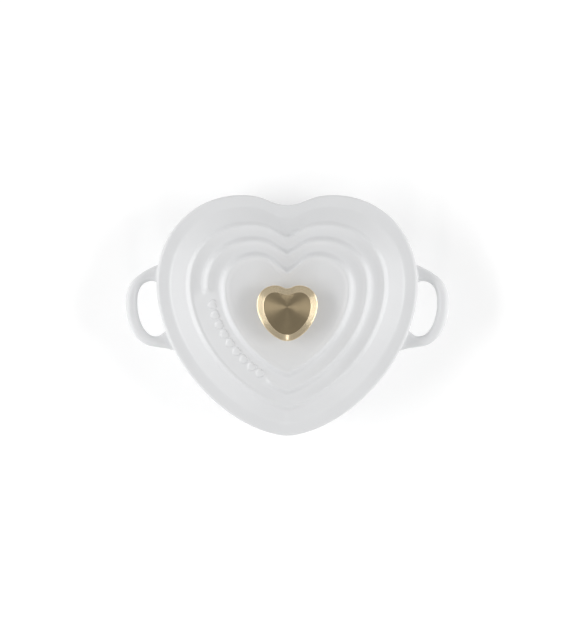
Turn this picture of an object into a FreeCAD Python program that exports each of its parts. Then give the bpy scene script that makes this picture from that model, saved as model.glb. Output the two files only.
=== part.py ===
"""Heart-shaped lidded casserole in enamelled cast iron, with a heart-shaped metal knob.

Millimetres, +Z up. The origin is on the table, under the middle of the heart's bounding box.
The heart's tip points to -Y, its two lobes to +Y, and a loop handle stands out on each side in X.
"""

import FreeCAD
import Part
import math
import os
from collections import namedtuple

Vec = FreeCAD.Vector

# ---------------------------------------------------------------- driving dimensions
POT_HEIGHT = 80.0  # table to the rim that the lid rests on
FLOOR_THICKNESS = 5.5  # from the table to the inside of the pot's floor
FOOT_RECESS = 1.0  # depth of the hollow inside the foot ring
LID_LIP_DEPTH = 5.0  # locating lip under the lid, inside the pot's mouth
LID_TOP = 20.0  # flat middle of the lid, above the rim plane
LID_THICKNESS = 4.3
HANDLE_THICKNESS = 10.0
HANDLE_BOTTOM = 56.0
HANDLE_EDGE_RADIUS = 3.8
KNOB_AXIS_Y = 6.5  # screw, stem and knob share this axis
KNOB_SEAT_THICKNESS = 1.0
KNOB_NECK_HEIGHT = 12.0  # from the seat washer to the underside of the heart
KNOB_HEAD_THICKNESS = 12.0
SPIGOT_RADIUS, SPIGOT_LENGTH = 6.0, 4.0  # the stem's end, let into the heart
INSERT_RADIUS, INSERT_BORE, INSERT_DEPTH = 5.0, 2.5, 11.0
INSERT_END = 1.0  # thickness of the insert's closed end
SCREW_RADIUS, SCREW_HEAD_RADIUS, SCREW_HEAD_HEIGHT = 2.4, 5.0, 3.6
SCREW_TIP_GAP = 1.0  # between the screw's end and the bottom of the insert's bore
SCREW_TIP_CHAMFER = 0.6
CROSS_WIDTH, CROSS_SPAN, CROSS_DEPTH = 1.3, 5.2, 2.0
LID_HOLE_RADIUS = 3.25
FLAT_WASHER_RADIUS, FLAT_WASHER_THICKNESS = 7.5, 1.2
LOCK_WASHER_RADIUS, LOCK_WASHER_THICKNESS, LOCK_WASHER_GAP = 4.6, 1.2, 0.8
SEAT_WASHER_RADIUS = 12.0

# ---------------------------------------------------------------- heart outlines
# A heart is symmetric about X = 0. Its right half runs from the cleft to the lobe's top, to the
# widest point and down to the tip. The angles are the rises of the V at the cleft and at the tip,
# and the radii round those two corners.
Heart = namedtuple(
    "Heart",
    "half_width top tip cleft lobe_x wide_y cleft_angle cleft_radius tip_angle tip_radius",
)
LID_EDGE = Heart(108.0, 99.4, -99.4, 91.3, 38.0, 26.0, 9.0, 34.0, 12.0, 40.0)
RING_OUTER = Heart(80.2, 74.3, -75.3, 63.6, 31.0, 26.0, 27.0, 4.0, 18.0, 9.0)
RING_MIDDLE = Heart(65.8, 61.3, -61.2, 49.8, 28.0, 24.4, 28.0, 3.0, 20.0, 7.0)
RING_INNER = Heart(51.2, 48.3, -47.3, 34.6, 25.0, 22.1, 30.0, 2.5, 26.0, 5.0)
LID_HEARTS = [LID_EDGE, RING_OUTER, RING_MIDDLE, RING_INNER]
KNOB_EDGE = Heart(24.8, 24.2, -21.0, 21.8, 10.0, 8.6, 12.5, 8.0, 13.0, 13.0)
KNOB_FACE = Heart(19.2, 18.5, -15.9, 16.4, 10.2, 7.7, 6.0, 12.0, 12.5, 11.5)

# Lengths of the curves' handles, as shares of the spans that they cross.
CLEFT_PULL, LOBE_PULL = 0.45, 0.50
SHOULDER_PULL, FLANK_PULL = 0.556, 0.59
SIDE_PULL, TIP_PULL = 0.435, 0.565
ARC_PULL = 0.66  # a cubic's handle that follows a shallow arc between two tangents

# ---------------------------------------------------------------- profiles
# (half width of the heart at that level, height above the part's own base)
POT_OUTSIDE = [
    (83.0, 0.0),
    (86.0, 1.2),
    (92.0, 4.0),
    (97.0, 9.0),
    (101.0, 18.0),
    (104.5, 35.0),
    (106.5, 60.0),
    (107.2, POT_HEIGHT),
]
POT_INSIDE = [
    (80.0, FLOOR_THICKNESS),
    (86.0, 7.2),
    (91.0, 11.0),
    (96.5, 20.0),
    (99.5, 35.0),
    (101.8, 60.0),
    (102.2, POT_HEIGHT + 1.0),
]
FOOT_INNER_EDGE = 75.0
# The lid's outside from the lip, over the flange and the shoulder, and up the three ring steps.
LID_OUTSIDE = [
    (100.8, -LID_LIP_DEPTH),
    (101.2, 0.0),
    (107.2, 0.0),
    (108.0, 0.9),
    (108.0, 3.2),
    (107.4, 4.5),
    (106.0, 5.0),
    (97.5, 5.4),
    (94.0, 6.9),
    (84.5, 11.3),
    (83.2, 12.0),
    (80.9, 14.1),
    (80.0, 14.7),
    (78.8, 14.8),
    (76.0, 14.2),
    (72.5, 14.0),
    (69.8, 14.5),
    (66.6, 17.3),
    (65.6, 17.9),
    (64.4, 17.95),
    (61.5, 17.3),
    (58.0, 17.1),
    (55.2, 17.6),
    (52.0, 20.3),
    (51.0, 20.85),
    (49.8, 20.9),
    (47.2, 20.2),
    (46.0, LID_TOP),
]
LID_INSIDE = [
    (97.5, -LID_LIP_DEPTH - 1.0),
    (97.0, 0.0),
    (95.0, 2.2),
    (84.0, 7.2),
    (79.0, 9.7),
    (66.0, 12.6),
    (52.0, LID_TOP - LID_THICKNESS),
]
# The knob's heart: (size as a share of its widest outline, height above its underside)
KNOB_UNDERSIDE = [
    (0.55, 0.0),
    (0.80, 2.5),
    (0.96, 5.5),
]
KNOB_BAND_BOTTOM, KNOB_BAND_TOP = 6.5, 8.5  # upright band between the underside and the bevel
# (radius, height above the part's own base)
STEM_SIDE = [
    (12.5, 0.0),
    (13.0, 0.5),
    (13.0, 1.6),
    (11.0, 2.4),
    (8.8, 3.8),
    (8.0, 6.0),
    (8.4, 9.0),
    (10.5, KNOB_NECK_HEIGHT),
]
SCREW_HEAD_SIDE = [
    (2.6, 0.0),
    (4.2, 0.7),
    (SCREW_HEAD_RADIUS, 2.0),
    (SCREW_HEAD_RADIUS, SCREW_HEAD_HEIGHT),
]
# One handle seen from above: the outside of the strap and then the finger gap, both reaching
# into the pot's wall, where the wall's own surface trims them.
STRAP_OUTSIDE = [
    (96.0, 47.0),
    (109.3, 41.9),
    (120.2, 36.4),
    (129.1, 29.2),
    (133.9, 20.4),
    (134.9, 8.2),
    (132.2, -7.2),
    (125.5, -18.8),
    (116.7, -24.8),
    (107.1, -26.6),
    (99.6, -27.9),
    (86.0, -31.5),
]
FINGER_GAP = [
    (96.0, 22.5),
    (104.0, 25.4),
    (110.5, 28.2),
    (116.0, 28.2),
    (121.6, 25.0),
    (124.5, 18.9),
    (125.2, 8.7),
    (123.5, -2.5),
    (119.3, -11.7),
    (113.4, -16.9),
    (107.3, -17.0),
    (101.7, -13.0),
    (96.0, -9.0),
]


# ---------------------------------------------------------------- curves and solids
def mix(a, b, share):
    """The heart that lies between hearts a and b."""
    return Heart(*(p + (q - p) * share for p, q in zip(a, b)))


def scaled(heart, factor):
    """The same heart, drawn smaller or larger about the origin."""
    sizes = [x * factor for x in heart]
    return Heart(*sizes)._replace(cleft_angle=heart.cleft_angle, tip_angle=heart.tip_angle)


def heart_at(half_width):
    """The heart of that half width in the lid's family, from its edge in to its smallest ring."""
    for outer, inner in zip(LID_HEARTS, LID_HEARTS[1:]):
        if half_width >= inner.half_width or inner is LID_HEARTS[-1]:
            share = (outer.half_width - half_width) / (outer.half_width - inner.half_width)
            return mix(outer, inner, share)


def rounded_corner(height, angle, radius):
    """Half of a rounded V on the axis X = 0: its end, its middle, its other end, and that slope."""
    half = radius * math.tan(angle / 2)
    slope = Vec(math.cos(angle), math.sin(angle), 0)
    start = Vec(0, height, 0)
    middle = Vec(half, height, 0)
    return start, middle, middle + slope * half, slope


def half_heart(heart):
    """Control points of the five cubics on a heart's right half, from the cleft to the tip."""
    notch, notch_middle, notch_end, notch_slope = rounded_corner(
        heart.cleft, math.radians(heart.cleft_angle), heart.cleft_radius
    )
    tip, tip_middle, tip_end, tip_slope = rounded_corner(
        heart.tip, math.radians(heart.tip_angle), heart.tip_radius
    )
    lobe = Vec(heart.lobe_x, heart.top, 0)
    widest = Vec(heart.half_width, heart.wide_y, 0)
    across = heart.half_width - heart.lobe_x
    return [
        [
            notch,
            notch + (notch_middle - notch) * ARC_PULL,
            notch_end + (notch_middle - notch_end) * ARC_PULL,
            notch_end,
        ],
        [
            notch_end,
            notch_end + notch_slope * (CLEFT_PULL * heart.lobe_x - notch_end.x),
            lobe - Vec(LOBE_PULL * heart.lobe_x, 0, 0),
            lobe,
        ],
        [
            lobe,
            lobe + Vec(SHOULDER_PULL * across, 0, 0),
            widest + Vec(0, FLANK_PULL * (heart.top - heart.wide_y), 0),
            widest,
        ],
        [
            widest,
            widest - Vec(0, SIDE_PULL * (heart.wide_y - heart.tip), 0),
            tip_end + tip_slope * (TIP_PULL * heart.half_width - tip_end.x),
            tip_end,
        ],
        [
            tip_end,
            tip_end + (tip_middle - tip_end) * ARC_PULL,
            tip + (tip_middle - tip) * ARC_PULL,
            tip,
        ],
    ]


def heart_wire(heart, z):
    """Closed outline of a heart at height z."""
    right = half_heart(heart)
    left = [[Vec(-p.x, p.y, 0) for p in reversed(cubic)] for cubic in reversed(right)]
    edges = []
    for cubic in right + left:
        curve = Part.BezierCurve()
        curve.setPoles([p + Vec(0, 0, z) for p in cubic])
        edges.append(curve.toShape())
    return Part.Wire(edges)


def skin(levels):
    """Solid through a list of (heart, height) levels."""
    return Part.makeLoft([heart_wire(heart, z) for heart, z in levels], True, True)


def in_family(profile, base=0.0):
    """Levels from (half width, height) pairs, the heights counted from base."""
    return [(heart_at(width), base + z) for width, z in profile]


def cylinder(radius, bottom, top):
    """Upright cylinder on the knob's axis."""
    return Part.makeCylinder(radius, top - bottom, Vec(0, KNOB_AXIS_Y, bottom))


def turned(profile):
    """Solid of revolution about the knob's axis, from (radius, height) points."""
    points = [Vec(r, KNOB_AXIS_Y, z) for r, z in profile]
    face = Part.Face(Part.makePolygon(points + [points[0]]))
    return face.revolve(Vec(0, KNOB_AXIS_Y, 0), Vec(0, 0, 1), 360)


def smooth_loop(points, z):
    """Smooth open curve through plan points, closed by a straight line."""
    path = [Vec(x, y, z) for x, y in points]
    curve = Part.BSplineCurve()
    curve.interpolate(path)
    return Part.Wire([curve.toShape(), Part.makeLine(path[-1], path[0])])


# ---------------------------------------------------------------- heights shared by the parts
lid_top = POT_HEIGHT + LID_TOP
lid_underside = lid_top - LID_THICKNESS
stem_bottom = lid_top + KNOB_SEAT_THICKNESS
head_bottom = stem_bottom + KNOB_NECK_HEIGHT
knob_top = head_bottom + KNOB_HEAD_THICKNESS
flat_washer_bottom = lid_underside - FLAT_WASHER_THICKNESS
lock_washer_bottom = flat_washer_bottom - LOCK_WASHER_THICKNESS
insert_top = stem_bottom + INSERT_DEPTH


# ---------------------------------------------------------------- the pot
def pot_envelope():
    return skin(in_family(POT_OUTSIDE))


def pot_body():
    foot = [(FOOT_INNER_EDGE, -1.0), (FOOT_INNER_EDGE - 1.0, FOOT_RECESS)]
    return pot_envelope().cut(skin(in_family(POT_INSIDE))).cut(skin(in_family(foot)))


def right_handle():
    """Loop handle, trimmed where it meets the pot's wall."""
    up = Vec(0, 0, HANDLE_THICKNESS)
    strap = Part.Face(smooth_loop(STRAP_OUTSIDE, HANDLE_BOTTOM)).extrude(up)
    gap = Part.Face(smooth_loop(FINGER_GAP, HANDLE_BOTTOM)).extrude(up)
    loop = strap.cut(gap)
    flat_edges = [
        edge
        for edge in loop.Edges
        if edge.BoundBox.ZLength < 0.001 and edge.BoundBox.XMax > 110.0
    ]
    return loop.makeFillet(HANDLE_EDGE_RADIUS, flat_edges).cut(pot_envelope())


def left_handle():
    return right_handle().mirror(Vec(0, 0, 0), Vec(1, 0, 0))


# ---------------------------------------------------------------- the lid
def lid():
    """Lid shell with its locating lip, and the hole for the knob's screw."""
    shell = skin(in_family(LID_OUTSIDE, POT_HEIGHT)).cut(skin(in_family(LID_INSIDE, POT_HEIGHT)))
    return shell.cut(cylinder(LID_HOLE_RADIUS, lid_underside - 1.0, lid_top + 1.0))


# ---------------------------------------------------------------- the knob
def knob_head():
    """Heart with a sloping underside and a broad bevel round its flat face."""
    levels = [(scaled(KNOB_EDGE, share), head_bottom + z) for share, z in KNOB_UNDERSIDE]
    levels.append((KNOB_EDGE, head_bottom + KNOB_BAND_BOTTOM))
    levels.append((KNOB_EDGE, head_bottom + KNOB_BAND_TOP))
    levels.append((KNOB_FACE, knob_top))
    socket = cylinder(SPIGOT_RADIUS, head_bottom - 1.0, head_bottom + SPIGOT_LENGTH)
    return skin(levels).cut(socket)


def knob_stem():
    """Turned stem: a base flange, a waist, a flared top and the spigot in the heart."""
    profile = [(0.0, stem_bottom)]
    profile += [(radius, stem_bottom + z) for radius, z in STEM_SIDE]
    profile.append((SPIGOT_RADIUS, head_bottom))
    profile.append((SPIGOT_RADIUS, head_bottom + SPIGOT_LENGTH))
    profile.append((0.0, head_bottom + SPIGOT_LENGTH))
    return turned(profile).cut(cylinder(INSERT_RADIUS, stem_bottom - 1.0, insert_top))


def knob_thread_insert():
    """Cup let into the stem, which the screw bites into."""
    bore = cylinder(INSERT_BORE, stem_bottom - 1.0, insert_top - INSERT_END)
    return cylinder(INSERT_RADIUS, stem_bottom, insert_top).cut(bore)


def knob_seat_washer():
    hole = cylinder(LID_HOLE_RADIUS, lid_top - 1.0, stem_bottom + 1.0)
    return cylinder(SEAT_WASHER_RADIUS, lid_top, stem_bottom).cut(hole)


# ---------------------------------------------------------------- the fastening under the lid
def knob_screw():
    """Pan-head screw with a cross recess, its head below the lid."""
    head_low = lock_washer_bottom - SCREW_HEAD_HEIGHT
    tip = insert_top - INSERT_END - SCREW_TIP_GAP
    profile = [(0.0, head_low)]
    profile += [(radius, head_low + z) for radius, z in SCREW_HEAD_SIDE]
    profile.append((SCREW_RADIUS, lock_washer_bottom))
    profile.append((SCREW_RADIUS, tip - SCREW_TIP_CHAMFER))
    profile.append((SCREW_RADIUS - SCREW_TIP_CHAMFER, tip))
    profile.append((0.0, tip))
    screw = turned(profile)
    for width, depth in ((CROSS_WIDTH, CROSS_SPAN), (CROSS_SPAN, CROSS_WIDTH)):
        corner = Vec(-width / 2, KNOB_AXIS_Y - depth / 2, head_low - 1.0)
        screw = screw.cut(Part.makeBox(width, depth, CROSS_DEPTH + 1.0, corner))
    return screw


def screw_flat_washer():
    hole = cylinder(LID_HOLE_RADIUS - 0.5, flat_washer_bottom - 1.0, lid_underside + 1.0)
    return cylinder(FLAT_WASHER_RADIUS, flat_washer_bottom, lid_underside).cut(hole)


def screw_lock_washer():
    """Split ring, with its gap towards +X."""
    ring = cylinder(LOCK_WASHER_RADIUS, lock_washer_bottom, flat_washer_bottom).cut(
        cylinder(LID_HOLE_RADIUS - 0.5, lock_washer_bottom - 1.0, flat_washer_bottom + 1.0)
    )
    corner = Vec(0, KNOB_AXIS_Y - LOCK_WASHER_GAP / 2, lock_washer_bottom - 1.0)
    split = Part.makeBox(
        LOCK_WASHER_RADIUS + 1.0, LOCK_WASHER_GAP, LOCK_WASHER_THICKNESS + 2.0, corner
    )
    return ring.cut(split)


PARTS = [
    pot_body,
    left_handle,
    right_handle,
    lid,
    knob_head,
    knob_stem,
    knob_thread_insert,
    knob_seat_washer,
    knob_screw,
    screw_flat_washer,
    screw_lock_washer,
]

os.makedirs("parts", exist_ok=True)
for make in PARTS:
    make().exportStep("parts/" + make.__name__ + ".step")
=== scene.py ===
import math
from collections import namedtuple

import bmesh
import bpy
import numpy as np
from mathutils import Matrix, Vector
from mathutils.bvhtree import BVHTree


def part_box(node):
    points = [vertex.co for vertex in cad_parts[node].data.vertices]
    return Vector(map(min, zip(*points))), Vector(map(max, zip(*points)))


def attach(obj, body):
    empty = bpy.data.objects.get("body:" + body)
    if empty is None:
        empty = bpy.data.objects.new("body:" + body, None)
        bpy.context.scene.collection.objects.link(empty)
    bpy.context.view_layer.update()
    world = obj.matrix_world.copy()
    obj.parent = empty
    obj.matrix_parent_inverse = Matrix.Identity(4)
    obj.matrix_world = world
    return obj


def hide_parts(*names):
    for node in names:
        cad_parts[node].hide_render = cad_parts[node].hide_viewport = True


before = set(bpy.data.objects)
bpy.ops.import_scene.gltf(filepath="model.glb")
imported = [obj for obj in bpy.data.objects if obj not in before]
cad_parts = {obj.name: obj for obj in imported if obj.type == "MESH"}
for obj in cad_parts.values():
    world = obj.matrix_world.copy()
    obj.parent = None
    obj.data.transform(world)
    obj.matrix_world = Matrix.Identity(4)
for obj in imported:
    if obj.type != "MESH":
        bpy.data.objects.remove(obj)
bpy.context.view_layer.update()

MM = 0.001
scene = bpy.context.scene


# ---------------------------------------------------------------- sizes taken from the CAD nodes
def z_of(node, end):
    """Lowest (end 0) or highest (end 1) point of a CAD node, in millimetres."""
    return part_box(node)[end].z / MM


RIM = z_of("pot_body", 1)
LID_TOP = z_of("knob_seat_washer", 0)
STEM_BOTTOM = z_of("knob_stem", 0)
HEAD_BOTTOM = z_of("knob_head", 0)
KNOB_TOP = z_of("knob_head", 1)
HANDLE_MIDDLE = (z_of("right_handle", 0) + z_of("right_handle", 1)) / 2
HANDLE_HALF = (z_of("right_handle", 1) - z_of("right_handle", 0)) / 2
washer_low, washer_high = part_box("knob_seat_washer")
AXIS = np.array([0.0, (washer_low.y + washer_high.y) / 2 / MM])

# ---------------------------------------------------------------- heart outlines
# The same hearts as the CAD: right half from the cleft to the lobe's top, widest point and tip.
Heart = namedtuple(
    "Heart",
    "half_width top tip cleft lobe_x wide_y cleft_angle cleft_radius tip_angle tip_radius",
)
LID_EDGE = Heart(108.0, 99.4, -99.4, 91.3, 38.0, 26.0, 9.0, 34.0, 12.0, 40.0)
RING_OUTER = Heart(80.2, 74.3, -75.3, 63.6, 31.0, 26.0, 27.0, 4.0, 18.0, 9.0)
RING_MIDDLE = Heart(65.8, 61.3, -61.2, 49.8, 28.0, 24.4, 28.0, 3.0, 20.0, 7.0)
RING_INNER = Heart(51.2, 48.3, -47.3, 34.6, 25.0, 22.1, 30.0, 2.5, 26.0, 5.0)
LID_HEARTS = [LID_EDGE, RING_OUTER, RING_MIDDLE, RING_INNER]
KNOB_EDGE = Heart(24.8, 24.2, -21.0, 21.8, 10.0, 8.6, 12.5, 8.0, 13.0, 13.0)
KNOB_FACE = Heart(19.2, 18.5, -15.9, 16.4, 10.2, 7.7, 6.0, 12.0, 12.5, 11.5)
CLEFT_PULL, LOBE_PULL = 0.45, 0.50
SHOULDER_PULL, FLANK_PULL = 0.556, 0.59
SIDE_PULL, TIP_PULL = 0.435, 0.565
ARC_PULL = 0.66
SPANS = (6, 24, 40, 64, 10)  # points per stretch of half a heart
LOOP = 2 * sum(SPANS)


def mix(a, b, share):
    return Heart(*(p + (q - p) * share for p, q in zip(a, b)))


def scaled(heart, factor):
    sizes = Heart(*(x * factor for x in heart))
    return sizes._replace(cleft_angle=heart.cleft_angle, tip_angle=heart.tip_angle)


def heart_at(half_width):
    for outer, inner in zip(LID_HEARTS, LID_HEARTS[1:]):
        if half_width >= inner.half_width or inner is LID_HEARTS[-1]:
            share = (outer.half_width - half_width) / (outer.half_width - inner.half_width)
            return mix(outer, inner, share)


def rounded_corner(height, degrees, radius):
    angle = math.radians(degrees)
    half = radius * math.tan(angle / 2)
    slope = np.array([math.cos(angle), math.sin(angle)])
    start = np.array([0.0, height])
    middle = np.array([half, height])
    return start, middle, middle + slope * half, slope


def half_heart(heart):
    """Control points of the five cubics on a heart's right half, from the cleft to the tip."""
    notch, notch_mid, notch_end, rise = rounded_corner(
        heart.cleft, heart.cleft_angle, heart.cleft_radius
    )
    tip, tip_mid, tip_end, tip_rise = rounded_corner(heart.tip, heart.tip_angle, heart.tip_radius)
    lobe = np.array([heart.lobe_x, heart.top])
    widest = np.array([heart.half_width, heart.wide_y])
    right = np.array([1.0, 0.0])
    up = np.array([0.0, 1.0])
    across = heart.half_width - heart.lobe_x
    return [
        (
            notch,
            notch + (notch_mid - notch) * ARC_PULL,
            notch_end + (notch_mid - notch_end) * ARC_PULL,
            notch_end,
        ),
        (
            notch_end,
            notch_end + rise * (CLEFT_PULL * heart.lobe_x - notch_end[0]),
            lobe - right * LOBE_PULL * heart.lobe_x,
            lobe,
        ),
        (
            lobe,
            lobe + right * SHOULDER_PULL * across,
            widest + up * FLANK_PULL * (heart.top - heart.wide_y),
            widest,
        ),
        (
            widest,
            widest - up * SIDE_PULL * (heart.wide_y - heart.tip),
            tip_end + tip_rise * (TIP_PULL * heart.half_width - tip_end[0]),
            tip_end,
        ),
        (
            tip_end,
            tip_end + (tip_mid - tip_end) * ARC_PULL,
            tip + (tip_mid - tip) * ARC_PULL,
            tip,
        ),
    ]


def cubic(p0, p1, p2, p3, count):
    """Points along a cubic, its last point left out."""
    t = np.arange(count)[:, None] / count
    s = 1 - t
    return p0 * s**3 + 3 * p1 * s * s * t + 3 * p2 * s * t * t + p3 * t**3


def heart_loop(heart):
    """Plan points round a heart: cleft, right lobe, tip, left lobe."""
    right = np.vstack([cubic(*c, n) for c, n in zip(half_heart(heart), SPANS)])
    tip = np.array([[0.0, heart.tip]])
    left = right[:0:-1] * [-1, 1]
    return np.vstack([right, tip, left])


def circle_like(loop, radius):
    """Points of a circle about the knob's axis, in the directions of the loop's points."""
    away = loop - AXIS
    return AXIS + radius * away / np.linalg.norm(away, axis=1)[:, None]


def at_height(plan, z):
    heights = np.broadcast_to(np.asarray(z, float), (len(plan),))
    return np.column_stack([plan, heights])


# ---------------------------------------------------------------- profiles
def through(points, step):
    """Smooth curve through profile points, sampled about every step millimetres."""
    p = np.array(points, float)
    p = np.vstack([2 * p[0] - p[1], p, 2 * p[-1] - p[-2]])
    out = []
    for a, b, c, d in zip(p, p[1:], p[2:], p[3:]):
        ta, tb, tc = (math.sqrt(np.linalg.norm(v)) for v in (b - a, c - b, d - c))
        m1 = (c - b) + tb * ((b - a) / ta - (c - a) / (ta + tb))
        m2 = (c - b) + tb * ((d - c) / tc - (d - b) / (tb + tc))
        count = max(1, int(math.ceil(np.linalg.norm(c - b) / step)))
        for k in range(count):
            t = k / count
            out.append(
                (2 * t**3 - 3 * t**2 + 1) * b
                + (t**3 - 2 * t**2 + t) * m1
                + (3 * t**2 - 2 * t**3) * c
                + (t**3 - t**2) * m2
            )
    out.append(p[-2])
    return np.array(out)


FILLET_SHARE = 0.49  # the most of an edge that the fillet at either of its ends may take


def filleted(corners, arc_points):
    """Polyline from (x, y, radius) corners, each rounded by its radius."""
    points = []
    for k, (x, y, radius) in enumerate(corners):
        here = np.array([x, y])
        if radius == 0 or k in (0, len(corners) - 1):
            points.append(here)
            continue
        back = np.array(corners[k - 1][:2]) - here
        ahead = np.array(corners[k + 1][:2]) - here
        back_length, ahead_length = np.linalg.norm(back), np.linalg.norm(ahead)
        back, ahead = back / back_length, ahead / ahead_length
        half = math.acos(max(-1.0, min(1.0, float(back @ ahead)))) / 2
        longest = FILLET_SHARE * min(back_length, ahead_length)
        reach = min(radius / math.tan(half), longest)
        start, end = here + back * reach, here + ahead * reach
        for i in range(arc_points + 1):
            t = i / arc_points
            points.append(start * (1 - t) ** 2 + here * 2 * t * (1 - t) + end * t * t)
    return np.array(points)


def smooth_step(x, low, high):
    t = np.clip((np.asarray(x, float) - low) / (high - low), 0, 1)
    return t * t * (3 - 2 * t)


# ---------------------------------------------------------------- meshes
def skin(rings, closed=False, start_cap=False, end_cap=False):
    """Vertices and faces over rings of equal length. A cap closes an end with a fan."""
    size = len(rings[0])
    verts = [tuple(v) for ring in rings for v in ring]
    faces = []
    last = len(rings) if closed else len(rings) - 1
    for k in range(last):
        a = k * size
        b = ((k + 1) % len(rings)) * size
        for i in range(size):
            j = (i + 1) % size
            faces.append((a + i, a + j, b + j, b + i))
    for wanted, ring, base in ((start_cap, rings[0], 0), (end_cap, rings[-1], len(verts) - size)):
        if wanted:
            centre = len(verts)
            verts.append(tuple(np.mean(ring, axis=0)))
            for i in range(size):
                faces.append((base + i, base + (i + 1) % size, centre))
    return verts, faces


def add_piece(name, verts, faces, body, materials, replaces=(), bands=None):
    """Smooth-shaded mesh that rides on a body. bands lists the material of each band of faces."""
    mesh = bpy.data.meshes.new(name)
    mesh.from_pydata([tuple(c * MM for c in v) for v in verts], [], faces)
    for material in materials:
        mesh.materials.append(material)
    bm = bmesh.new()
    bm.from_mesh(mesh)
    bmesh.ops.recalc_face_normals(bm, faces=bm.faces)
    for face in bm.faces:
        face.smooth = True
        if bands:
            face.material_index = bands[face.index // LOOP]
    bm.to_mesh(mesh)
    bm.free()
    piece = bpy.data.objects.new(name, mesh)
    scene.collection.objects.link(piece)
    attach(piece, body)
    if replaces:
        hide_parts(*replaces)


# ---------------------------------------------------------------- materials
BRUSH_PITCH = 0.22  # spacing of the metal's brush lines


class Shader:
    """A node material with a Principled shader, and short calls for its procedural inputs."""

    def __init__(self, name, **sockets):
        self.material = bpy.data.materials.new(name)
        self.material.use_nodes = True
        self.tree = self.material.node_tree
        self.bsdf = self.tree.nodes["Principled BSDF"]
        for key, value in sockets.items():
            self.bsdf.inputs[key.replace("_", " ")].default_value = value
        self.place = self.tree.nodes.new("ShaderNodeTexCoord").outputs["Object"]

    def link(self, a, b):
        self.tree.links.new(a, b)

    def node(self, kind, **inputs):
        made = self.tree.nodes.new(kind)
        for key, value in inputs.items():
            socket = made.inputs[key.replace("_", " ")]
            if isinstance(value, bpy.types.NodeSocket):
                self.link(value, socket)
            else:
                socket.default_value = value
        return made

    def noise(self, size, detail=2.0, roughness=0.5, place=None):
        """Noise whose blobs are about size millimetres."""
        made = self.node(
            "ShaderNodeTexNoise",
            Vector=place or self.place,
            Scale=1 / (size * MM),
            Detail=detail,
            Roughness=roughness,
        )
        return made.outputs["Fac"]

    def ramp(self, fac, low, high, start, end):
        """Number or colour that goes from start to end as fac goes from low to high."""
        made = self.tree.nodes.new("ShaderNodeValToRGB")
        for element, where, what in zip(made.color_ramp.elements, (low, high), (start, end)):
            element.position = where
            element.color = what if hasattr(what, "__len__") else (what, what, what, 1)
        self.link(fac, made.inputs["Fac"])
        return made.outputs["Color"]

    def bump(self, height, distance, under=None):
        """Bump about distance millimetres deep, laid over the normals of another one."""
        made = self.node("ShaderNodeBump", Height=height, Distance=distance * MM, Strength=1.0)
        if under:
            self.link(under, made.inputs["Normal"])
        return made.outputs["Normal"]

    def set(self, **sockets):
        """Links outputs to the shader's inputs, named with _ for a space."""
        for key, value in sockets.items():
            self.link(value, self.bsdf.inputs[key.replace("_", " ")])


def enamel(name, colour, roughness, coat):
    """Vitreous enamel on a casting: faint colour drift, orange peel and uneven gloss."""
    s = Shader(name, IOR=1.5, Coat_Weight=coat, Coat_Roughness=0.12)
    darker = tuple(c * 0.975 for c in colour) + (1,)
    drift = s.noise(38, detail=3)
    s.set(Base_Color=s.ramp(drift, 0.35, 0.65, darker, tuple(colour) + (1,)))
    s.set(Roughness=s.ramp(s.noise(16, detail=4), 0.3, 0.7, roughness - 0.03, roughness + 0.03))
    waves = s.bump(s.noise(9, detail=1), 0.05)
    s.set(Normal=s.bump(s.noise(1.4, detail=2), 0.006, under=waves))
    return s.material


def metal(name, colour, roughness, anisotropy=0.0, grooves=None):
    """Metal with fine brush lines: circular about the knob's axis, level round a slope, or none."""
    s = Shader(name, Metallic=1.0, Anisotropic=anisotropy)
    light = tuple(colour) + (1,)
    dark = tuple(c * 0.9 for c in colour) + (1,)
    stains = s.noise(11, detail=3)
    s.set(Roughness=s.ramp(stains, 0.3, 0.7, roughness - 0.02, roughness + 0.02))
    if grooves:
        lines, tangent = brush_lines(s, grooves == "circular")
        s.set(Base_Color=s.ramp(lines, 0.3, 0.7, dark, light))
        s.set(Tangent=tangent)
        s.set(Normal=s.bump(lines, 0.0015))
    else:
        s.set(Base_Color=s.ramp(stains, 0.3, 0.7, dark, light))
        s.set(Normal=s.bump(s.noise(2.5, detail=3), 0.002))
    return s.material


def brush_lines(s, circular):
    """Noise drawn out along brush lines, and the direction that the gloss turns with."""
    apart = s.node("ShaderNodeSeparateXYZ", Vector=s.place)
    if circular:
        from_axis = s.tree.nodes.new("ShaderNodeMath")
        from_axis.operation = "SUBTRACT"
        s.link(apart.outputs["Y"], from_axis.inputs[0])
        from_axis.inputs[1].default_value = AXIS[1] * MM
        y = from_axis.outputs[0]
        tangent = s.node("ShaderNodeCombineXYZ", X=apart.outputs["X"], Y=y, Z=0.0)
        radius = s.tree.nodes.new("ShaderNodeVectorMath")
        radius.operation = "LENGTH"
        s.link(tangent.outputs[0], radius.inputs[0])
        across = radius.outputs["Value"]
    else:
        tangent = s.node("ShaderNodeCombineXYZ", X=0.0, Y=0.0, Z=1.0)
        across = 0.0
    lines_at = s.node("ShaderNodeCombineXYZ", X=across, Y=0.0, Z=apart.outputs["Z"])
    lines = s.noise(BRUSH_PITCH, detail=3, roughness=0.7, place=lines_at.outputs[0])
    return lines, tangent.outputs[0]


def plain(name, colour, roughness, grain=0.6, depth=0.02):
    """Matte surface with a fine grain."""
    s = Shader(name)
    light = tuple(colour) + (1,)
    dark = tuple(c * 0.85 for c in colour) + (1,)
    s.set(Base_Color=s.ramp(s.noise(4, detail=4), 0.35, 0.65, dark, light))
    s.set(Roughness=s.ramp(s.noise(2, detail=3), 0.3, 0.7, roughness - 0.06, roughness + 0.06))
    s.set(Normal=s.bump(s.noise(grain, detail=3), depth))
    return s.material


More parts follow.
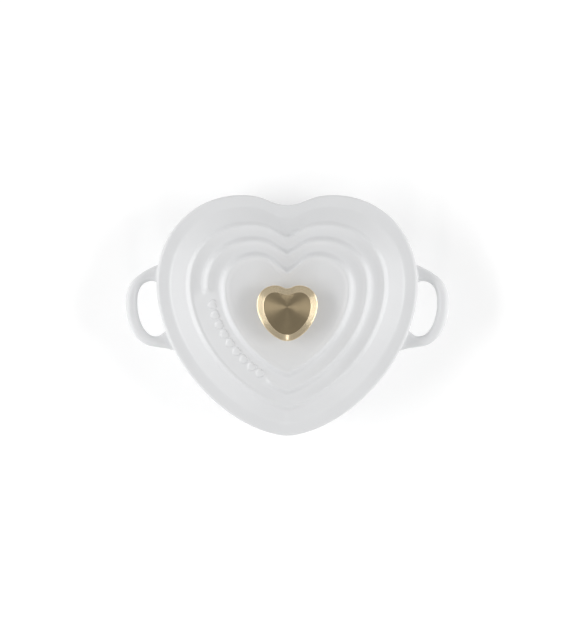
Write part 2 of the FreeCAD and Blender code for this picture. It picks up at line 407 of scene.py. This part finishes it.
white_enamel = enamel("white_satin_enamel", (0.727, 0.7325, 0.7405), 0.31, 0.0)
inner_enamel = enamel("cream_inner_enamel", (0.80, 0.755, 0.65), 0.16, 0.3)
ground_coat = plain("matte_ground_coat", (0.10, 0.098, 0.095), 0.62)
# Painted shade: the brushed face's gold is a darker copy of the knob's gold. It stands in for the
# dark overhead that the face reflects.
shaded_gold_face = metal("gold_circular_brushed_painted_shade", (0.455, 0.363, 0.225), 0.30, 0.85, "circular")
gold_bevel = metal("gold_edge_brushed", (0.86, 0.72, 0.495), 0.26, 0.6, "level")
gold_turned = metal("gold_satin", (0.76, 0.65, 0.45), 0.30)
GOLDS = [shaded_gold_face, gold_bevel, gold_turned]
FACE, BEVEL, TURNED = range(3)  # places in that list
steel = metal("fastener_steel", (0.56, 0.56, 0.55), 0.30)
brass = metal("insert_brass", (0.70, 0.53, 0.26), 0.32, 0.4, "circular")
ENAMELS = [white_enamel, inner_enamel, ground_coat]
OUTSIDE, INSIDE, BARE = range(3)  # places in that list
silicone = plain("silicone_washer", (0.70, 0.70, 0.68), 0.55, grain=0.4, depth=0.01)

# ---------------------------------------------------------------- camera
CAMERA_RISE = 1900.0  # above the rim
SENSOR = 36.0
VIEW_HEIGHT = 531.3  # what the picture's height spans at the rim
VIEW_CENTRE = (-0.17, -4.66)  # what the camera looks straight down on
camera_data = bpy.data.cameras.new("camera")
camera_data.sensor_width = SENSOR
camera_data.lens = SENSOR * CAMERA_RISE / VIEW_HEIGHT
camera_data.clip_end = 50
camera = bpy.data.objects.new("camera", camera_data)
camera.location = [v * MM for v in (*VIEW_CENTRE, RIM + CAMERA_RISE)]
scene.collection.objects.link(camera)
scene.camera = camera
scene.view_settings.view_transform = "Standard"
scene.view_settings.look = "None"


# ---------------------------------------------------------------- the lid
# (half width, height above the rim plane), from the flange's edge up to the flat middle
LID_OUTSIDE = [
    (107.15, 0.05),
    (107.75, 0.45),
    (108.0, 1.1),
    (108.0, 3.2),
    (107.55, 4.35),
    (106.3, 5.0),
    (103.0, 5.2),
    (97.5, 5.5),
    (96.0, 5.9),
    (94.0, 6.75),
    (89.0, 9.1),
    (84.5, 11.25),
    (83.3, 11.95),
    (81.3, 13.8),
    (80.5, 14.5),
    (79.6, 14.8),
    (78.6, 14.75),
    (77.2, 14.4),
    (75.2, 14.08),
    (72.0, 14.1),
    (70.3, 14.4),
    (69.2, 15.0),
    (67.1, 16.95),
    (66.2, 17.65),
    (65.3, 17.95),
    (64.3, 17.9),
    (62.8, 17.5),
    (60.6, 17.15),
    (57.6, 17.15),
    (55.9, 17.4),
    (54.8, 18.0),
    (52.6, 19.95),
    (51.7, 20.6),
    (50.8, 20.9),
    (49.8, 20.85),
    (48.2, 20.4),
    (46.2, 20.05),
    (44.0, 20.0),
]
PLATEAU = 44.0  # half width of the flat middle
# (half width, height above the rim plane, rounding), from the flat underside out over the lip
LID_INSIDE = [
    (46.0, 15.7, 0),
    (52.0, 15.6, 2.0),
    (66.0, 12.8, 4.0),
    (80.0, 9.6, 4.0),
    (86.0, 7.0, 4.0),
    (95.0, 2.4, 2.0),
    (97.2, -0.6, 2.0),
    (97.5, -5.0, 1.2),
    (100.8, -5.0, 1.2),
    (101.25, 0.0, 0.8),
    (107.0, 0.0, 0.0),
]
HOLE_RADIUS = 3.25  # of the screw's hole in the flat middle
PROFILE_STEP = 0.75  # spacing of the rings over the lid's top
PLATEAU_SHARES = (0.12, 0.3, 0.5, 0.7, 0.86, 0.95, 1.0)  # of the way in to the hole
UNDERSIDE_SHARES = (1.0, 0.9, 0.7, 0.45, 0.2)  # and back out from it below
UNDERSIDE_ARC = 4  # pieces in each rounded corner of the underside
GAP_INSIDE, GAP_OUTSIDE = 55.5, 78.0  # half widths between which the middle ring can stop
GAP_TOP, GAP_BOTTOM = 20.0, -54.8  # where it stops and starts again, on the left side
GAP_END = 1.5  # half the length of its rounded ends
GAP_EASE = 0.7  # how much longer that gets for each millimetre away from the ring


def gap_height(width):
    """Height of the smooth band that stands in for the middle ring where the ring stops."""
    widths, heights = zip(*reversed(LID_OUTSIDE))
    low = np.interp(GAP_OUTSIDE, widths, heights)
    high = np.interp(GAP_INSIDE, widths, heights)
    share = (GAP_OUTSIDE - np.asarray(width, float)) / (GAP_OUTSIDE - GAP_INSIDE)
    return low + (high - low) * share


def lid_rings():
    """Rings of the lid from the flange's edge over the top, down the hole and back below."""
    profile = through(LID_OUTSIDE, PROFILE_STEP)
    y = heart_loop(RING_MIDDLE)[:, 1]
    rings = []
    for width, height in profile:
        z = np.full(LOOP, height)
        if GAP_INSIDE < width < GAP_OUTSIDE:
            ease = GAP_END + GAP_EASE * abs(width - RING_MIDDLE.half_width)
            in_gap = smooth_step(y, GAP_BOTTOM - ease, GAP_BOTTOM + ease)
            in_gap *= smooth_step(-y, -GAP_TOP - ease, -GAP_TOP + ease)
            in_gap[: LOOP // 2] = 0  # the ring is whole on the right
            z = height + (gap_height(width) - height) * in_gap
        rings.append(at_height(heart_loop(heart_at(width)), RIM + z))
    plateau = heart_loop(heart_at(PLATEAU))
    hole = circle_like(plateau, HOLE_RADIUS)
    for share in PLATEAU_SHARES:
        rings.append(at_height(plateau + (hole - plateau) * share, LID_TOP))
    bands = [OUTSIDE] * (len(rings) - 1)
    inside = filleted(LID_INSIDE, UNDERSIDE_ARC)
    underside = heart_loop(heart_at(inside[0][0]))
    hole = circle_like(underside, HOLE_RADIUS)
    for share in UNDERSIDE_SHARES:
        rings.append(at_height(underside + (hole - underside) * share, RIM + inside[0][1]))
    for width, height in inside:
        rings.append(at_height(heart_loop(heart_at(width)), RIM + height))
    bands += [INSIDE] * (len(rings) - len(bands) - 2)
    return rings, bands + [BARE, OUTSIDE]


def make_lid():
    rings, bands = lid_rings()
    verts, faces = skin(rings, closed=True)
    add_piece("lid_casting", verts, faces, "lid", ENAMELS, ["lid"], bands)


# ---------------------------------------------------------------- raised hearts in the ring's gap
MOTIF_WIDTH = 62.9  # half width of the lid heart that they sit on
MOTIF_TOP, MOTIF_BOTTOM = 10.5, -47.5  # where the row starts and ends
MOTIF_COUNT = 9
MOTIF_HALF = 3.6  # half width of each
# (size of the outline, height above the lid) from its foot to its crown
MOTIF_LEVELS = [(1.22, -0.2), (1.07, 0.1), (1.0, 0.4), (0.9, 0.68), (0.7, 0.84), (0.4, 0.9)]
MOTIF_STRIDE = 6  # keeps every sixth point of the heart


def make_motifs():
    """A row of small raised hearts along the left flank, their tops towards the knob."""
    line = heart_loop(heart_at(MOTIF_WIDTH))[LOOP // 2 :][::-1]
    line = line[(line[:, 1] < MOTIF_TOP) & (line[:, 1] > MOTIF_BOTTOM)]
    along = np.concatenate([[0], np.cumsum(np.linalg.norm(np.diff(line, axis=0), axis=1))])
    shape = heart_loop(scaled(KNOB_EDGE, MOTIF_HALF / KNOB_EDGE.half_width))[::MOTIF_STRIDE]
    shape = shape - shape.mean(axis=0)
    slope = (gap_height(GAP_OUTSIDE) - gap_height(GAP_INSIDE)) / (GAP_OUTSIDE - GAP_INSIDE)
    verts, faces = [], []
    for k in range(MOTIF_COUNT):
        where = along[-1] * k / (MOTIF_COUNT - 1)
        centre = np.array([np.interp(where, along, line[:, i]) for i in (0, 1)])
        ahead = np.array([np.interp(where + 1, along, line[:, i]) for i in (0, 1)])
        behind = np.array([np.interp(where - 1, along, line[:, i]) for i in (0, 1)])
        run = (ahead - behind) / np.linalg.norm(ahead - behind)
        inward = np.array([-run[1], run[0]])
        if inward @ (AXIS - centre) < 0:
            inward = -inward
        rings = []
        for factor, lift in MOTIF_LEVELS:
            plan = shape * factor
            placed = centre + plan[:, :1] * run + plan[:, 1:] * inward
            ground = RIM + gap_height(MOTIF_WIDTH) - plan[:, 1] * slope
            rings.append(at_height(placed, ground + lift))
        new_verts, new_faces = skin(rings, start_cap=True, end_cap=True)
        base = len(verts)
        verts += new_verts
        faces += [tuple(base + i for i in face) for face in new_faces]
    add_piece("lid_raised_hearts", verts, faces, "lid", [white_enamel])


# ---------------------------------------------------------------- the pot
POT_MOUTH, FLOOR_TOP = 102.3, 5.5  # half width of the mouth, height of the floor inside
WALL_ARC = 7  # pieces in each rounded corner of the wall
RING_SPACING = 6  # the most between two rings of the wall
MOUTH_MARGIN = 0.5  # the inner enamel starts this near the mouth
CENTRE_RADIUS = 2.0  # of the small cap in the middle of the floor
FLOOR_SHARES = (0.0, 0.35, 0.7, 1.0)  # rings of the floor, of the way in to that cap
FLAT = 0.01  # heights closer than this count as one
# (half width, height, rounding) from under the floor, up the outside, over the rim and down inside
POT_WALL = [
    (74.0, 1.0, 0.0),
    (75.0, 1.0, 0.4),
    (75.6, 0.0, 0.5),
    (82.6, 0.0, 0.9),
    (83.6, 1.3, 1.4),
    (92.0, 3.6, 9.0),
    (98.5, 10.0, 12.0),
    (102.6, 24.0, 40.0),
    (106.2, 55.0, 60.0),
    (107.2, 80.0, 0.9),
    (POT_MOUTH, 80.0, 0.9),
    (101.8, 60.0, 30.0),
    (98.4, 24.0, 20.0),
    (92.0, 10.5, 9.0),
    (84.0, 5.9, 9.0),
    (72.0, FLOOR_TOP, 0.0),
]


def floor_rings(width, z, shares):
    """Rings from a heart of that half width towards a small circle in its middle."""
    heart = heart_loop(heart_at(width))
    centre = circle_like(heart, CENTRE_RADIUS)
    return [at_height(heart + (centre - heart) * share, z) for share in shares]


def pot_rings():
    """Rings of the pot from under its floor, up the outside, over the rim and down to the floor."""
    profile = filleted(POT_WALL, WALL_ARC)
    rings = floor_rings(*profile[0], FLOOR_SHARES[:0:-1])
    bands = [OUTSIDE] * len(rings)
    for (width, z), (next_width, next_z) in zip(profile, profile[1:]):
        level = abs(next_z - z) < FLAT and next_z < RIM + FLAT
        bare = level and (z > RIM - FLAT or z < FLAT)
        inward = next_width < width and next_width < POT_MOUTH + MOUTH_MARGIN
        inside = inward and z > FLOOR_TOP - FLAT
        steps = int(math.hypot(next_width - width, next_z - z) // RING_SPACING) + 1
        for i in range(steps):
            share = i / steps
            plan = heart_loop(heart_at(width + (next_width - width) * share))
            rings.append(at_height(plan, z + (next_z - z) * share))
            bands.append(BARE if bare else INSIDE if inside else OUTSIDE)
    rings += floor_rings(*profile[-1], FLOOR_SHARES)
    bands += [INSIDE] * (len(FLOOR_SHARES) - 1)
    return rings, bands + [OUTSIDE, INSIDE]


def make_pot():
    rings, bands = pot_rings()
    verts, faces = skin(rings, start_cap=True, end_cap=True)
    add_piece("pot_casting", verts, faces, "pot", ENAMELS, ["pot_body"], bands)


# ---------------------------------------------------------------- the loop handles
# Plan points of the right handle: (outer edge of the strap, inner edge at the same station)
STRAP = [
    ((94.0, 47.8), (94.0, 22.0)),
    ((102.0, 44.9), (101.8, 24.6)),
    ((109.3, 41.9), (108.2, 27.3)),
    ((115.0, 39.3), (112.4, 28.7)),
    ((121.6, 35.4), (116.8, 28.0)),
    ((129.1, 29.2), (121.4, 25.2)),
    ((133.7, 20.6), (124.4, 19.2)),
    ((134.9, 8.2), (125.2, 8.7)),
    ((132.2, -7.2), (123.5, -2.5)),
    ((125.5, -18.8), (119.6, -11.3)),
    ((116.9, -24.8), (114.0, -16.6)),
    ((107.4, -26.6), (107.6, -17.1)),
    ((99.8, -27.9), (101.9, -13.2)),
    ((90.0, -30.6), (95.5, -8.4)),
]
STRAP_EDGE = 3.9  # radius along the strap's four edges
STRAP_EDGE_SHARE = 0.94  # the most of its half thickness that this radius may take
STRAP_STEP = 0.25  # spacing of the points on its smooth edges
ROOT_BLEND = 4.5  # radius of the fillet where a handle meets the wall
ROOT_DEPTH = 1.5  # how far its ends go into the wall
ARC_STEPS = 7  # pieces in each rounded edge
WALL_BELOW = 22  # how far below the handles' middle the fillets need the wall
WALL_STEP = 2.0  # between the rings of that stretch of wall
WALL_UNDER_RIM = 1.0  # where that stretch of wall ends, below the rounding of the rim
STATIONS = 340  # sections along the strap, close enough together to round the fillets


def section(outer, inner, half_height):
    """Rounded rectangle that stands between two plan points."""
    middle = (outer + inner) / 2
    half = np.linalg.norm(outer - inner) / 2
    across = (outer - inner) / (2 * half)
    radius = min(STRAP_EDGE, STRAP_EDGE_SHARE * half)
    ring = []
    for quarter in range(4):
        side = 1 if quarter in (0, 3) else -1
        level = 1 if quarter < 2 else -1
        for i in range(ARC_STEPS + 1):
            turn = math.pi / 2 * (quarter + i / ARC_STEPS)
            out = side * (half - radius) + radius * math.cos(turn)
            up = level * (half_height - radius) + radius * math.sin(turn)
            ring.append([*(middle + across * out), HANDLE_MIDDLE + up])
        if quarter % 2 == 0:
            ring.append([*middle, HANDLE_MIDDLE + level * half_height])
    return np.array(ring)


def outer_wall():
    """The pot's outer wall, from which the handles take their distance and their fillets."""
    profile = filleted(POT_WALL, WALL_ARC)
    top = RIM - WALL_UNDER_RIM
    rim = int(np.argmax(profile[:, 1] > top))
    rings = []
    for z in np.arange(HANDLE_MIDDLE - WALL_BELOW, top, WALL_STEP):
        width = np.interp(z, profile[:rim, 1], profile[:rim, 0])
        rings.append(at_height(heart_loop(heart_at(width)), z))
    verts, faces = skin(rings)
    return BVHTree.FromPolygons([Vector(v) for v in verts], [face[::-1] for face in faces])


def evenly(curve, corners, count):
    """Points on a curve at count stations that keep step with its corner points."""
    along = np.concatenate([[0], np.cumsum(np.linalg.norm(np.diff(curve, axis=0), axis=1))])
    marks = [along[np.argmin(np.linalg.norm(curve - corner, axis=1))] for corner in corners]
    where = np.interp(np.linspace(0, len(corners) - 1, count), range(len(corners)), marks)
    return np.column_stack([np.interp(where, along, curve[:, i]) for i in (0, 1)])


def handle_rings():
    """Sections along the right handle, swelling into fillets where they near the wall."""
    wall = outer_wall()
    outer, inner = (evenly(through(edge, STRAP_STEP), edge, STATIONS) for edge in zip(*STRAP))
    rings = []
    for a, b in zip(outer, inner):
        ring = section(a, b, HANDLE_HALF)
        middle = ring.mean(axis=0)
        depths = []
        for k, point in enumerate(ring):
            near, normal = wall.find_nearest(Vector(point))[:2]
            signed = (Vector(point) - near).dot(normal)
            reach = min(max(signed, 0.0), ROOT_BLEND)
            swell = ROOT_BLEND - math.sqrt(ROOT_BLEND**2 - (ROOT_BLEND - reach) ** 2)
            away = Vector(point - middle)
            away -= normal * away.dot(normal)
            if signed < -ROOT_DEPTH:
                point = np.array(near - normal * ROOT_DEPTH)
            ring[k] = point + np.array(away.normalized()) * swell
            depths.append(signed)
        rings.append((ring, max(depths)))
    kept = [k for k, (ring, depth) in enumerate(rings) if depth > -ROOT_DEPTH]
    return [ring for ring, depth in rings[kept[0] : kept[-1] + 1]]


def make_handles():
    rings = handle_rings()
    for side, name in ((1, "right"), (-1, "left")):
        verts, faces = skin([ring * [side, 1, 1] for ring in rings], start_cap=True, end_cap=True)
        piece, node = f"{name}_loop_handle", f"{name}_handle"
        add_piece(piece, verts, faces, "pot", [white_enamel], [node])


# ---------------------------------------------------------------- the knob
DISH_DEPTH = 0.8  # of the hollow in the brushed face, at its middle
SPIGOT_RADIUS, SPIGOT_DEPTH = 6.0, 4.0  # the blind hole under the head
EDGE_HEIGHT, EDGE_SHARE = 8.95, 0.10  # where the bevel starts, and how far in from the edge
EDGE_ROUND = (0.03, 8.55)  # a point on the rounding between edge and bevel
FACE_ROUND = 0.02  # how far the bevel's inner end lies below the face
BEVEL_SHARES = (0.25, 0.45, 0.65, 0.85, 0.96)  # rings of the bevel, of the way in to the face
# rings of the face, of the way in to the cap in its middle
FACE_SHARES = (0.012, 0.035, 0.08, 0.16, 0.28, 0.42, 0.56, 0.7, 0.82, 0.92, 1.0)
FACE_CENTRE = 0.6  # radius of the small cap in the middle of the face
# (share of the widest outline, height above the head's underside), up to the band round the edge
KNOB_UNDERSIDE = [
    (0.55, 0.0),
    (0.66, 0.9),
    (0.78, 2.1),
    (0.88, 3.5),
    (0.955, 5.0),
    (0.988, 6.1),
    (1.0, 7.0),
    (1.0, 8.1),
]


def make_knob():
    height = KNOB_TOP - HEAD_BOTTOM
    spigot = circle_like(heart_loop(KNOB_EDGE), SPIGOT_RADIUS)
    rings = [at_height(spigot, HEAD_BOTTOM + SPIGOT_DEPTH), at_height(spigot, HEAD_BOTTOM)]
    bands = [TURNED] * 2
    for share, z in KNOB_UNDERSIDE:
        rings.append(at_height(heart_loop(scaled(KNOB_EDGE, share)), HEAD_BOTTOM + z))
        bands.append(TURNED if share < 1.0 else BEVEL)
    bevel = [EDGE_ROUND, (EDGE_SHARE, EDGE_HEIGHT)]
    for share in BEVEL_SHARES:
        rise = (share - EDGE_SHARE) / (1 - EDGE_SHARE)
        bevel.append((share, EDGE_HEIGHT + (height - EDGE_HEIGHT) * rise))
    for share, z in bevel:
        rings.append(at_height(heart_loop(mix(KNOB_EDGE, KNOB_FACE, share)), HEAD_BOTTOM + z))
    face = heart_loop(KNOB_FACE)
    rings.append(at_height(face, KNOB_TOP - FACE_ROUND))
    bands += [BEVEL] * (len(rings) - 1 - len(bands))
    centre = circle_like(face, FACE_CENTRE)
    edge = np.linalg.norm(face - AXIS, axis=1)
    for share in FACE_SHARES:
        plan = face + (centre - face) * share
        away = np.linalg.norm(plan - AXIS, axis=1)
        sink = DISH_DEPTH * (1 - (away / edge) ** 2)
        rings.append(at_height(plan, KNOB_TOP - sink))
    bands += [FACE] * (len(rings) - 1 - len(bands))
    verts, faces = skin(rings, start_cap=True, end_cap=True)
    bands += [TURNED, FACE]
    add_piece("knob_heart", verts, faces, "lid", GOLDS, ["knob_head"], bands)


# (radius, height, rounding) from the end of the insert's socket, out and up to the spigot's end
STEM = [
    (0.3, 11.0, 0.0),
    (5.05, 11.0, 0.0),
    (5.05, 0.0, 0.0),
    (13.0, 0.0, 0.5),
    (13.0, 1.9, 0.6),
    (10.4, 2.5, 1.2),
    (8.0, 5.4, 3.0),
    (8.2, 9.2, 3.0),
    (10.5, 12.0, 0.3),
    (6.0, 12.0, 0.0),
    (6.0, 16.0, 0.5),
    (0.3, 16.0, 0.0),
]
STEM_SIDES = 96
STEM_ARC = 7  # pieces in each rounded corner


def make_stem():
    turn = np.linspace(0, 2 * math.pi, STEM_SIDES, endpoint=False)
    directions = np.column_stack([np.cos(turn), np.sin(turn)])
    profile = filleted(STEM, STEM_ARC)
    rings = [at_height(AXIS + directions * radius, STEM_BOTTOM + z) for radius, z in profile]
    verts, faces = skin(rings, start_cap=True, end_cap=True)
    add_piece("knob_turned_stem", verts, faces, "lid", [gold_turned], ["knob_stem"])


def dress(node, material):
    """Gives a CAD node that stays in view its finish."""
    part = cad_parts[node]
    part.data.materials.clear()
    part.data.materials.append(material)


# ---------------------------------------------------------------- floor and lights
FLOOR_REACH = 6.0  # metres
FLOOR_GLOW = 0.14  # keeps the floor white round the object
# studio walls and ceiling: (elevation as a share of a right angle, brightness), dark overhead
STUDIO = [(0.0, 0.35), (0.25, 0.36), (0.5, 0.88), (0.75, 0.46), (1.0, 0.16)]
# softboxes: name, azimuth and elevation in degrees, width, height, power in watts
SOFTBOXES = [
    ("left_low_strip", 180, 7, 2.4, 0.45, 16.0),
    ("right_low_strip", 0, 7, 2.4, 0.45, 16.0),
    ("right_wide_box", 0, 29, 2.0, 0.6, 1.2),
    ("left_high_box", 180, 52, 1.2, 0.4, 9.3),
    ("right_high_box", 0, 52, 0.7, 0.4, 6.0),
    ("front_strip", 270, 42, 0.08, 1.5, 3.0),
]
LIGHT_TARGET = Vector((0, 0, 0.09))  # metres, as are the sizes of the softboxes
LIGHT_DISTANCE = 2.0


def make_floor():
    mesh = bpy.data.meshes.new("floor")
    signs = [(-1, -1), (1, -1), (1, 1), (-1, 1)]
    corners = [(x * FLOOR_REACH, y * FLOOR_REACH, 0) for x, y in signs]
    mesh.from_pydata(corners, [], [(0, 1, 2, 3)])
    floor = bpy.data.objects.new("floor", mesh)
    scene.collection.objects.link(floor)
    s = Shader("pale_floor", Roughness=0.9)
    s.bsdf.inputs["Specular IOR Level"].default_value = 0.0
    s.bsdf.inputs["Emission Color"].default_value = (1, 1, 1, 1)
    s.bsdf.inputs["Emission Strength"].default_value = FLOOR_GLOW
    light, dark = (0.93, 0.93, 0.93, 1), (0.92, 0.92, 0.92, 1)
    s.set(Base_Color=s.ramp(s.noise(400, detail=2), 0.3, 0.7, dark, light))
    mesh.materials.append(s.material)


def make_studio():
    """Soft surroundings: grey walls, brightest halfway up and dark straight above."""
    world = bpy.data.worlds.new("studio")
    world.use_nodes = True
    nodes, links = world.node_tree.nodes, world.node_tree.links
    direction = nodes.new("ShaderNodeTexCoord")
    apart = nodes.new("ShaderNodeSeparateXYZ")
    links.new(direction.outputs["Generated"], apart.inputs[0])
    angle = nodes.new("ShaderNodeMath")
    angle.operation = "ARCSINE"
    links.new(apart.outputs["Z"], angle.inputs[0])
    share = nodes.new("ShaderNodeMath")
    share.operation = "DIVIDE"
    links.new(angle.outputs[0], share.inputs[0])
    share.inputs[1].default_value = math.pi / 2
    ramp = nodes.new("ShaderNodeValToRGB")
    links.new(share.outputs[0], ramp.inputs[0])
    elements = ramp.color_ramp.elements
    while len(elements) < len(STUDIO):
        elements.new(0.5)
    for element, (where, level) in zip(elements, STUDIO):
        element.position = where
        element.color = (level, level, level, 1)
    links.new(ramp.outputs["Color"], nodes["Background"].inputs["Color"])
    scene.world = world


def make_lights():
    """Softboxes that face the object from their azimuth and elevation."""
    for name, azimuth, elevation, width, height, power in SOFTBOXES:
        turn, rise = math.radians(azimuth), math.radians(elevation)
        away = Vector(
            (math.cos(turn) * math.cos(rise), math.sin(turn) * math.cos(rise), math.sin(rise))
        )
        data = bpy.data.lights.new(name, "AREA")
        data.shape = "RECTANGLE"
        data.size, data.size_y = width, height
        data.energy = power
        light = bpy.data.objects.new(name, data)
        light.location = LIGHT_TARGET + away * LIGHT_DISTANCE
        light.rotation_euler = (-away).to_track_quat("-Z", "Y").to_euler()
        light.visible_camera = False
        scene.collection.objects.link(light)


make_lid()
make_motifs()
make_pot()
make_handles()
make_knob()
make_stem()
dress("knob_thread_insert", brass)
dress("knob_seat_washer", silicone)
for fastener in ("knob_screw", "screw_flat_washer", "screw_lock_washer"):
    dress(fastener, steel)
make_floor()
make_studio()
make_lights()
